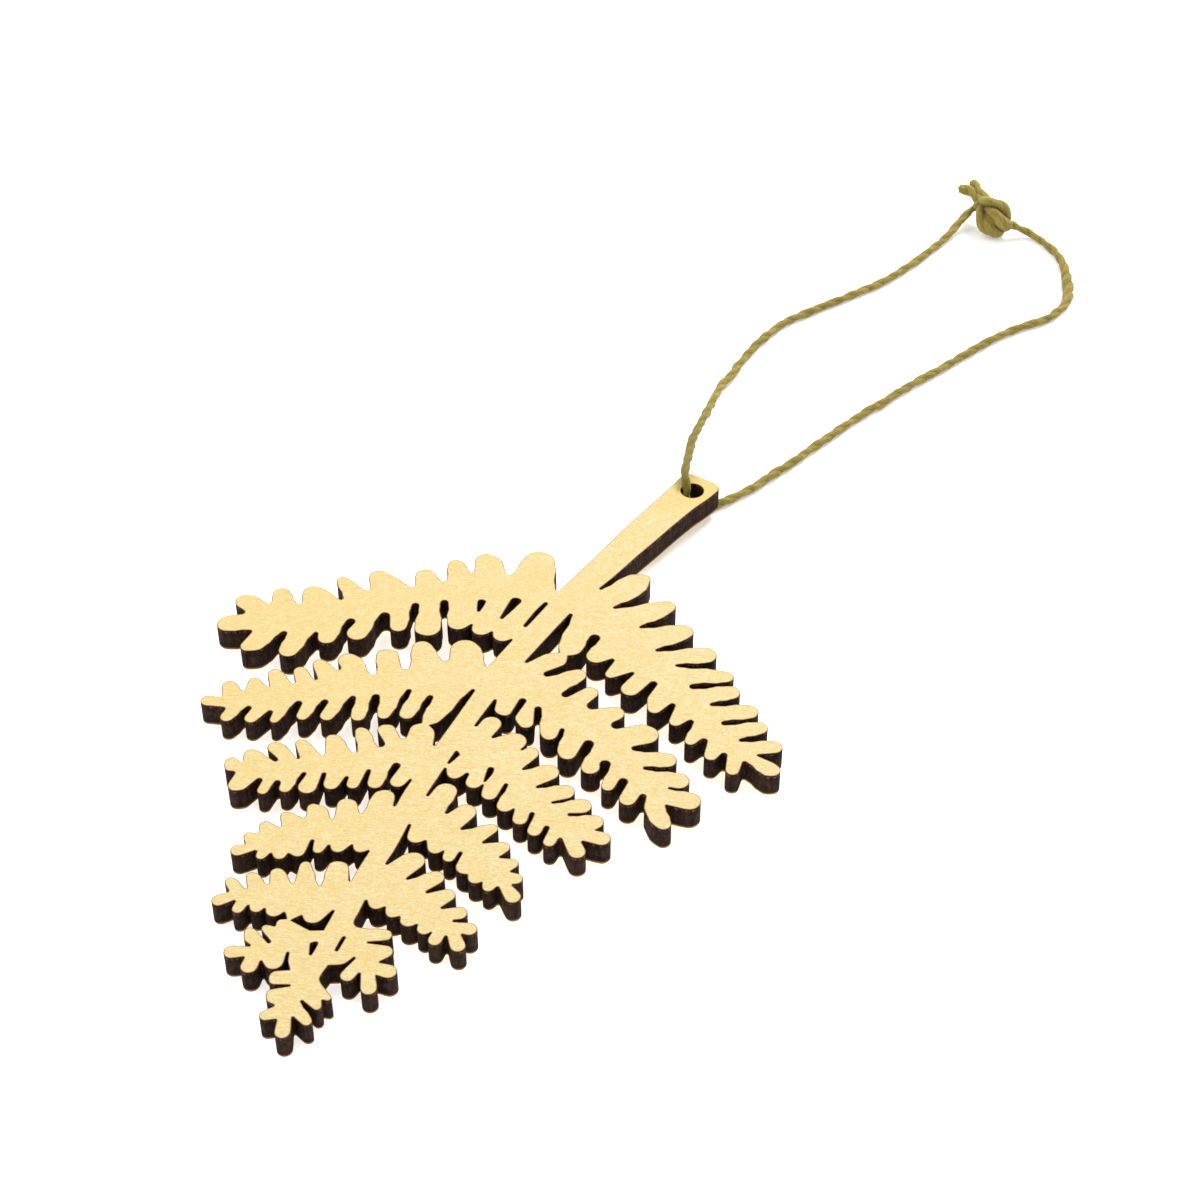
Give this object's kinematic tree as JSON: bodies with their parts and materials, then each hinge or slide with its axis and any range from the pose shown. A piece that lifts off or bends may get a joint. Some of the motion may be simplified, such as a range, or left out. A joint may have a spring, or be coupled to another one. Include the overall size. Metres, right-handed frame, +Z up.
{
  "type": "wooden fern frond hanging ornament",
  "caption": "Flat plywood fern frond cut to outline, with charred edges and a knotted twine loop through a hole in its stem, for hanging as a decoration.",
  "frame": {"origin": "centre of the frond's footprint on the surface it lies on", "axes": "+Y along the frond towards its stem end and hanging hole, +Z up out of the frond's face, +X across the frond"},
  "size_m": [0.0706, 0.1878, 0.006],
  "materials": {
    "plywood": "raw pale birch face, charred dark brown cut edges",
    "twine": "matt olive twisted twine",
    "knot_twine": "matt olive twisted twine"
  },
  "bodies": {
    "root": {"fern_plate": "plywood", "twine_loop": "twine", "twine_knot": "knot_twine"}
  },
  "joints": []
}
